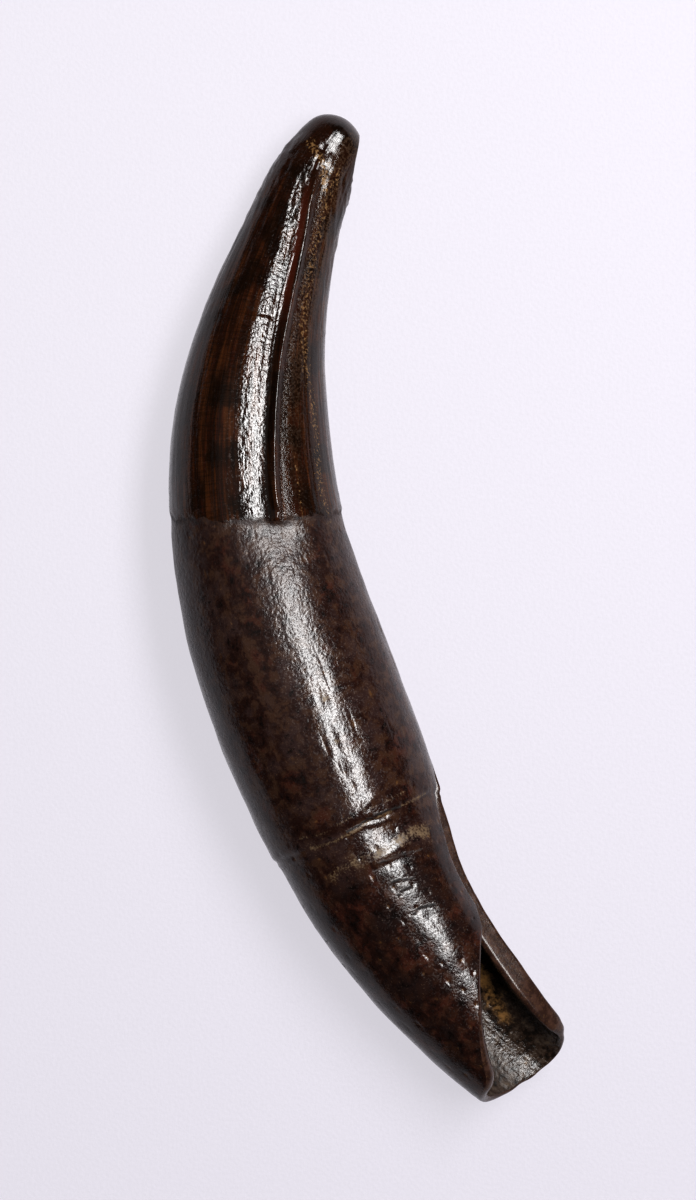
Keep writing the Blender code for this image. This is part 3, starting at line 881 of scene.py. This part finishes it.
def cementumColors(tree, skin):
    straight, along = skin["straight"], skin["along"]
    clouds = addNode(
        tree, "ShaderNodeTexNoise",
        {"Vector": straight, "Scale": noiseSpan / cementum["clouds"], "Detail": 5.0,
         "Roughness": 0.65},
    )
    mottle = addNode(
        tree, "ShaderNodeTexNoise",
        {"Vector": straight, "Scale": noiseSpan / cementum["mottle"], "Detail": 5.0,
         "Roughness": 0.65, "Distortion": 0.3},
    )
    specks = addNode(
        tree, "ShaderNodeTexNoise",
        {"Vector": straight, "Scale": noiseSpan / cementum["specks"], "Detail": 3.0,
         "Roughness": 0.6},
    )
    grain = addNode(
        tree, "ShaderNodeTexNoise",
        {"Vector": straight, "Scale": noiseSpan / cementum["grain"], "Detail": 1.5},
    )
    dark = addNode(
        tree, "ShaderNodeMath", {0: specks, 1: 0.6, 2: skin["dark"]}, operation="MULTIPLY_ADD"
    )
    torn = addNode(tree, "ShaderNodeMath", {0: specks, 1: skin["dark"]}, operation="MULTIPLY")
    wrinkles = drawnNoise(tree, skin, 0.7, 0.16, 2.0)
    soil = addNode(tree, "ShaderNodeMath", {0: mottle, 1: specks}, operation="ADD")
    soil = addNode(
        tree, "ShaderNodeMath", {0: soil, 1: 1.4, 2: skin["soil"]}, operation="MULTIPLY_ADD"
    )
    color = layColors(
        tree, paint(cementum["base"]),
        (cementum["brown"], 0.8, (mottle, 0.46, 0.6)),
        (cementum["mauve"], 0.5, (clouds, 0.48, 0.62)),
        (cementum["black"], 0.5, (clouds, 0.42, 0.34), (mottle, 0.6, 0.5)),
        (cementum["red"], 0.5, (clouds, 0.46, 0.36), (mottle, 0.42, 0.56)),
        # past the ring it is darker and redder
        (cementum["red"], 0.25, (along, 33.6, 34.6), (mottle, 0.4, 0.6)),
        (cementum["black"], 0.55, (along, 33.6, 34.6), (clouds, 0.4, 0.56)),
        (cementum["black"], 0.85, (mottle, 0.43, 0.32)),
        (cementum["ochre"], 0.4, (specks, 0.64, 0.72), (clouds, 0.5, 0.6)),
        (cementum["tan"], 0.8, (soil, 1.75, 2.4)),
        (cementum["ochre"], 0.3, (skin["pit"], 0.3, 0.7), (mottle, 0.45, 0.6)),
        (cementum["black"], 0.95, (dark, *gloom["color"])),
    )
    # the root is coarse and satin under the crown, and smoother and glossier towards its end
    coarse = layColors(
        tree, grain, ("#808080", 0.5, (along, 21.0, 27.5)), ("#808080", 0.4, (along, 32.5, 34.5))
    )
    rough = cementum["neckGloss"]
    for value, (low, high), gloss in (
        (along, (20.0, 27.0), cementum["gloss"]), (specks, grit, cementum["gritGloss"]),
        (soil, (1.8, 2.4), cementum["tornGloss"]), (dark, gloom["gloss"], cementum["tornGloss"]),
    ):
        rough = addNode(
            tree, "ShaderNodeMapRange",
            {"Value": value, "From Min": low, "From Max": high, "To Min": rough, "To Max": gloss},
        )
    bumps = ((wrinkles, 0.002), (coarse, 0.028), (specks, 0.008), (torn, 0.04))
    return color, bumps, {"Roughness": rough, "IOR": cementum["ior"]}


# Dentine where the root broke: an old break, rubbed smooth, dull mauve-brown
dentine = {
    "base": "#2d1c16", "light": "#402c24", "ochre": "#5c442b",
    "mottle": 0.5, "grain": 0.1, "gloss": 0.26, "ior": 1.42,
}


def dentineColors(tree, skin):
    mottle = addNode(
        tree, "ShaderNodeTexNoise",
        {"Vector": skin["straight"], "Scale": noiseSpan / dentine["mottle"], "Detail": 4.0},
    )
    grain = addNode(
        tree, "ShaderNodeTexNoise",
        {"Vector": skin["straight"], "Scale": noiseSpan / dentine["grain"], "Detail": 2.0},
    )
    color = layColors(
        tree, paint(dentine["base"]),
        (dentine["light"], 1.0, (mottle, 0.42, 0.62)),
        (dentine["ochre"], 0.5, (grain, 0.56, 0.68)),
    )
    bumps = ((mottle, 0.012), (grain, 0.006))
    return color, bumps, {"Roughness": dentine["gloss"], "IOR": dentine["ior"]}


# The pulp cavity's wall: dark, crusted with fine mineral grains, drawn coarse enough to show, and
# stained with ochre soil
pulpWall = {
    # the grey is partly the crust's own colour and partly a painted glint
    "base": "#2e2119", "black": "#0d0906", "grey": "#544940", "ochre": "#8a673c",
    "crust": 0.6, "grain": 0.28, "gloss": 0.24, "dullGloss": 0.5, "ior": 1.5,
}


def pulpColors(tree, skin):
    straight = skin["straight"]
    crust = addNode(
        tree, "ShaderNodeTexNoise",
        {"Vector": straight, "Scale": noiseSpan / pulpWall["crust"], "Detail": 5.0,
         "Roughness": 0.65},
    )
    grain = addNode(
        tree, "ShaderNodeTexNoise",
        {"Vector": straight, "Scale": noiseSpan / pulpWall["grain"], "Detail": 1.5},
    )
    soil = addNode(
        tree, "ShaderNodeMath", {0: crust, 1: 2.5, 2: skin["soil"]}, operation="MULTIPLY_ADD"
    )
    color = layColors(
        tree, paint(pulpWall["base"]),
        # past about 41 mm the crust is grey: partly its own colour, partly a painted glint where it
        # catches the light
        (pulpWall["grey"], 0.5, (crust, 0.48, 0.62), (skin["along"], 41.0, 43.0)),
        (pulpWall["black"], 0.8, (crust, 0.5, 0.38)),
        (pulpWall["ochre"], 0.8, (soil, 1.5, 2.3)),
    )
    # the side of it under the near rim is duller
    side = addNode(tree, "ShaderNodeSeparateXYZ", {0: skin["around"]}).outputs[0]
    rough = addNode(
        tree, "ShaderNodeMapRange",
        {"Value": side, "From Min": 0.0, "From Max": -0.45,
         "To Min": pulpWall["gloss"], "To Max": pulpWall["dullGloss"]},
    )
    bumps = ((crust, 0.06), (grain, 0.025))
    return color, bumps, {"Roughness": rough, "IOR": pulpWall["ior"]}


# A pale satin sheet that glows: a painted glow in place of light from below, so that shadows on
# it stay weak, painted a little dimmer past the tooth's broken end as a painted falloff of the
# light. Its fibres are drawn coarser than real ones. The size is in metres.
paper = {
    "tint": "#504d53", "shade": "#4c494f", "glow": "#faf7fe", "glowShade": "#efecf4",
    "dimFrom": 0.03, "dimTo": -0.045, "shine": 0.78,
    "fibre": 0.25, "depth": 4.0, "sheen": 0.5, "gloss": 0.62, "size": 0.6,
}


def paperFinish():
    finish = bpy.data.materials.new("satin sheet, glowing in place of light from below")
    finish.use_nodes = True
    tree = finish.node_tree
    tree.nodes.clear()
    place = addNode(tree, "ShaderNodeTexCoord").outputs["Object"]
    fibres = addNode(
        tree, "ShaderNodeTexNoise",
        {"Vector": place, "Scale": noiseSpan / (paper["fibre"] * millimetre), "Detail": 4.0},
    )
    color = layColors(tree, paint(paper["shade"]), (paper["tint"], 1.0, (fibres, 0.35, 0.65)))
    # painted light: the sheet's glow, painted dimmer past the tooth's broken end
    back = addNode(tree, "ShaderNodeSeparateXYZ", {0: place}).outputs[1]
    bright = (paper["glow"], 1.0, (back, paper["dimTo"], paper["dimFrom"]))
    glow = layColors(tree, paint(paper["glowShade"]), bright)
    normal = addNode(tree, "ShaderNodeBump", {"Height": fibres, "Distance": 0.01 * millimetre})
    shader = addNode(
        tree, "ShaderNodeBsdfPrincipled",
        {"Base Color": color, "Roughness": paper["gloss"], "Metallic": paper["sheen"],
         "Normal": normal, "Subsurface Weight": 1.0, "Subsurface Radius": (1.0, 1.0, 1.0),
         "Subsurface Scale": paper["depth"] * millimetre,
         "Emission Color": glow, "Emission Strength": paper["shine"]},
        subsurface_method="BURLEY",
    )
    addNode(tree, "ShaderNodeOutputMaterial", {"Surface": shader})
    return finish


finishes = (  # in the order of the zones
    makeFinish("fossil enamel, worn glossy", enamelColors, "keelSide", "soil", "dark"),
    makeFinish("root cementum, handled smooth", cementumColors, "soil", "dark", "pit"),
    makeFinish("broken dentine, rubbed smooth", dentineColors),
    makeFinish("pulp cavity wall, mineral crust", pulpColors, "soil"),
)
fossilTooth = growTooth(finishes)
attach(fossilTooth, "root")
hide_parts("tooth")
print("tooth grown:", sum(len(p.vertices) - 2 for p in fossilTooth.data.polygons), "triangles")


def laySheet():
    mesh = bpy.data.meshes.new("sheet")
    half = paper["size"] / 2
    corners = [(-half, -half, 0), (half, -half, 0), (half, half, 0), (-half, half, 0)]
    mesh.from_pydata(corners, [], [(0, 1, 2, 3)])
    mesh.materials.append(paperFinish())
    sheet = bpy.data.objects.new("sheet", mesh)
    bpy.context.scene.collection.objects.link(sheet)
    return sheet


sheet = laySheet()
print("sheet laid")

# The view is from straight above, through a long lens; aim and height are in millimetres
view = {"aim": (-0.818, 0.28, 3.7), "lens": 180.0, "sensor": 36.0, "frameHeight": 51.6}


def addCamera():
    data = bpy.data.cameras.new("camera")
    data.lens, data.sensor_width, data.sensor_fit = view["lens"], view["sensor"], "AUTO"
    data.clip_start = 0.01
    camera = bpy.data.objects.new("camera", data)
    above = view["frameHeight"] * view["lens"] / view["sensor"]
    x, y, z = view["aim"]
    camera.location = Vector((x, y, z + above)) * millimetre
    bpy.context.scene.collection.objects.link(camera)
    bpy.context.scene.camera = camera


# A long narrow soft light high up on the right, and a weak wide one on the left, in a dim room
lights = {
    "fill": {
        "towards": (-0.35, 0.15, 0.92), "distance": 0.35, "size": 0.32, "length": 0.32,
        "power": 0.08,
    },
    "key": {
        "towards": (0.35, 0.24, 0.92), "distance": 0.25, "size": 0.06, "length": 0.2,
        "power": 1.28,
    },
}
room = {"color": "#dfe0ea", "strength": 0.03}


def addLights():
    for name, light in lights.items():
        data = bpy.data.lights.new(name, "AREA")
        data.shape, data.size, data.size_y = "RECTANGLE", light["size"], light["length"]
        data.energy = light["power"]
        lamp = bpy.data.objects.new(name, data)
        towards = Vector(light["towards"]).normalized()
        lamp.location = towards * light["distance"]
        across = Vector((0, 1, 0)).cross(towards).normalized()
        frameAxes = Matrix((across, towards.cross(across), towards)).transposed()
        lamp.rotation_euler = frameAxes.to_euler()
        bpy.context.scene.collection.objects.link(lamp)
    world = bpy.data.worlds.new("room")
    world.use_nodes = True
    world.node_tree.nodes["Background"].inputs["Color"].default_value = paint(room["color"])
    world.node_tree.nodes["Background"].inputs["Strength"].default_value = room["strength"]
    bpy.context.scene.world = world


addCamera()
addLights()
tone = bpy.context.scene.view_settings
tone.view_transform, tone.gamma = "Standard", 0.8
print("camera and light placed")
